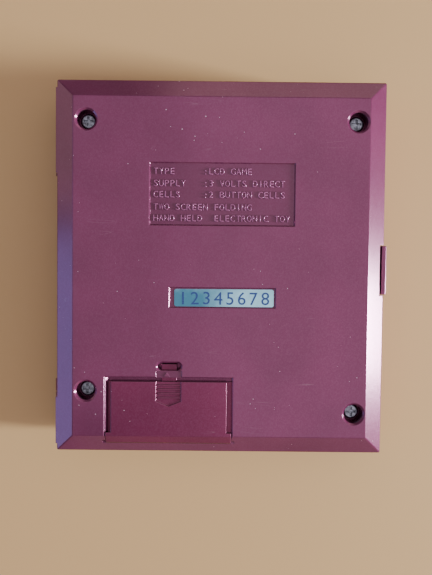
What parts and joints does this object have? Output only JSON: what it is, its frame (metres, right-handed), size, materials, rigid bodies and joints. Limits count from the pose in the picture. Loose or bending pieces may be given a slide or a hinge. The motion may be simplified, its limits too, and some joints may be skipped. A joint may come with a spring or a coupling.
{
  "type": "handheld lcd game",
  "caption": "Clamshell handheld LCD game with two hinged halves, each with a screen, push buttons at the free edge, and a sliding battery door in the back.",
  "frame": {"origin": "centre of the closed lid's flat front face, which the game lies on; the base half with the battery door is on top", "axes": "+Z out of the back of the base half; +X from the hinge edge towards the finger tab; +Y along the hinge, away from the battery door"},
  "size_m": [0.0779, 0.085, 0.023],
  "materials": {
    "case_plastic": "maroon moulded ABS with a fine metallic fleck, satin gloss",
    "trim_metal": "brushed sheet",
    "inner_plastic": "dark moulded ABS",
    "window_acrylic": "clear acrylic sheet",
    "lcd_glass": "bonded glass with polariser",
    "reflector_foil": "matte silvery film",
    "conductive_rubber": "layered silicone strip",
    "circuit_board": "phenolic board with copper tracks",
    "screw_steel": "zinc-plated steel",
    "button_plastic": "red moulded ABS",
    "mode_button_plastic": "dark moulded ABS",
    "dome_rubber": "soft silicone",
    "chip_plastic": "black moulded epoxy with tinned leads",
    "bright_metal": "bright steel",
    "capacitor_ceramic": "tan fired ceramic",
    "buzzer_brass": "thin brass disc",
    "spring_metal": "plated phosphor bronze",
    "cell_steel": "nickel-plated steel can",
    "plate_foil": "teal metallised film with dark digits",
    "flex_film": "amber polyimide film with copper tracks"
  },
  "bodies": {
    "lid": {"lid_bezel": "inner_plastic", "lid_board": "circuit_board", "lid_board_screws": "screw_steel", "lid_case_screws": "screw_steel", "lid_catch": "case_plastic", "lid_connector_strips": "conductive_rubber", "lid_faceplate": "trim_metal", "lid_front_plate": "trim_metal", "lid_front_shell": "case_plastic", "lid_lcd_frame": "inner_plastic", "lid_lcd_glass": "lcd_glass", "lid_reflector": "reflector_foil", "lid_window": "window_acrylic", "hinge_pin": "bright_metal", "hinge_sleeve": "bright_metal", "hinge_washers": "bright_metal", "right_dome_upper": "dome_rubber", "right_dome_lower": "dome_rubber", "flex_cable_lid": "flex_film"},
    "base": {"base_bezel": "inner_plastic", "base_board": "circuit_board", "base_board_screws": "screw_steel", "base_case_screws": "screw_steel", "base_connector_strips": "conductive_rubber", "base_faceplate": "trim_metal", "base_lcd_frame": "inner_plastic", "base_lcd_glass": "lcd_glass", "base_rear_shell": "case_plastic", "base_reflector": "reflector_foil", "base_window": "window_acrylic", "battery_cell_inner": "cell_steel", "battery_cell_outer": "cell_steel", "battery_contact_minus": "spring_metal", "battery_contact_plus": "spring_metal", "board_components": "capacitor_ceramic", "buzzer_contacts": "spring_metal", "buzzer_disc": "buzzer_brass", "flex_cable_base": "flex_film", "game_a_dome": "dome_rubber", "game_b_dome": "dome_rubber", "left_dome_lower": "dome_rubber", "left_dome_upper": "dome_rubber", "number_plate": "plate_foil", "processor_chip": "chip_plastic", "time_dome": "dome_rubber", "timing_crystal": "bright_metal"},
    "battery_door": {"battery_door": "case_plastic", "battery_link": "spring_metal"},
    "left_button_upper": {"left_button_upper": "button_plastic"},
    "left_button_lower": {"left_button_lower": "button_plastic"},
    "right_button_upper": {"right_button_upper": "button_plastic"},
    "right_button_lower": {"right_button_lower": "button_plastic"},
    "game_a_button": {"game_a_button": "mode_button_plastic"},
    "game_b_button": {"game_b_button": "mode_button_plastic"},
    "time_button": {"time_button": "mode_button_plastic"},
    "alarm_button": {"alarm_button": "mode_button_plastic"},
    "reset_button": {"reset_button": "mode_button_plastic"}
  },
  "joints": [
    {"name": "main_hinge", "type": "hinge", "parent": "lid", "child": "base", "pos_m": [-0.03775, 0, 0.0115], "axis": [0, -1, 0], "range_deg": [0, 180]},
    {"name": "door_slide", "type": "slide", "parent": "base", "child": "battery_door", "axis": [0, -1, 0], "range_m": [0, 0.018]},
    {"name": "left_button_upper_press", "type": "slide", "parent": "base", "child": "left_button_upper", "axis": [0, 0, 1], "range_m": [0, 0.0008], "stiffness_N_per_m": 600, "deforming": ["left_dome_upper"]},
    {"name": "left_button_lower_press", "type": "slide", "parent": "base", "child": "left_button_lower", "axis": [0, 0, 1], "range_m": [0, 0.0008], "stiffness_N_per_m": 600, "deforming": ["left_dome_lower"]},
    {"name": "right_button_upper_press", "type": "slide", "parent": "lid", "child": "right_button_upper", "axis": [0, 0, -1], "range_m": [0, 0.0008], "stiffness_N_per_m": 600, "deforming": ["right_dome_upper"]},
    {"name": "right_button_lower_press", "type": "slide", "parent": "lid", "child": "right_button_lower", "axis": [0, 0, -1], "range_m": [0, 0.0008], "stiffness_N_per_m": 600, "deforming": ["right_dome_lower"]},
    {"name": "game_a_button_press", "type": "slide", "parent": "base", "child": "game_a_button", "axis": [0, 0, 1], "range_m": [0, 0.0008], "stiffness_N_per_m": 500, "deforming": ["game_a_dome"]},
    {"name": "game_b_button_press", "type": "slide", "parent": "base", "child": "game_b_button", "axis": [0, 0, 1], "range_m": [0, 0.0008], "stiffness_N_per_m": 500, "deforming": ["game_b_dome"]},
    {"name": "time_button_press", "type": "slide", "parent": "base", "child": "time_button", "axis": [0, 0, 1], "range_m": [0, 0.0008], "stiffness_N_per_m": 500, "deforming": ["time_dome"]},
    {"name": "alarm_button_press", "type": "slide", "parent": "base", "child": "alarm_button", "axis": [0, 0, 1], "range_m": [0, 0.0005], "stiffness_N_per_m": 300},
    {"name": "reset_button_press", "type": "slide", "parent": "base", "child": "reset_button", "axis": [0, 0, 1], "range_m": [0, 0.0005], "stiffness_N_per_m": 300}
  ]
}
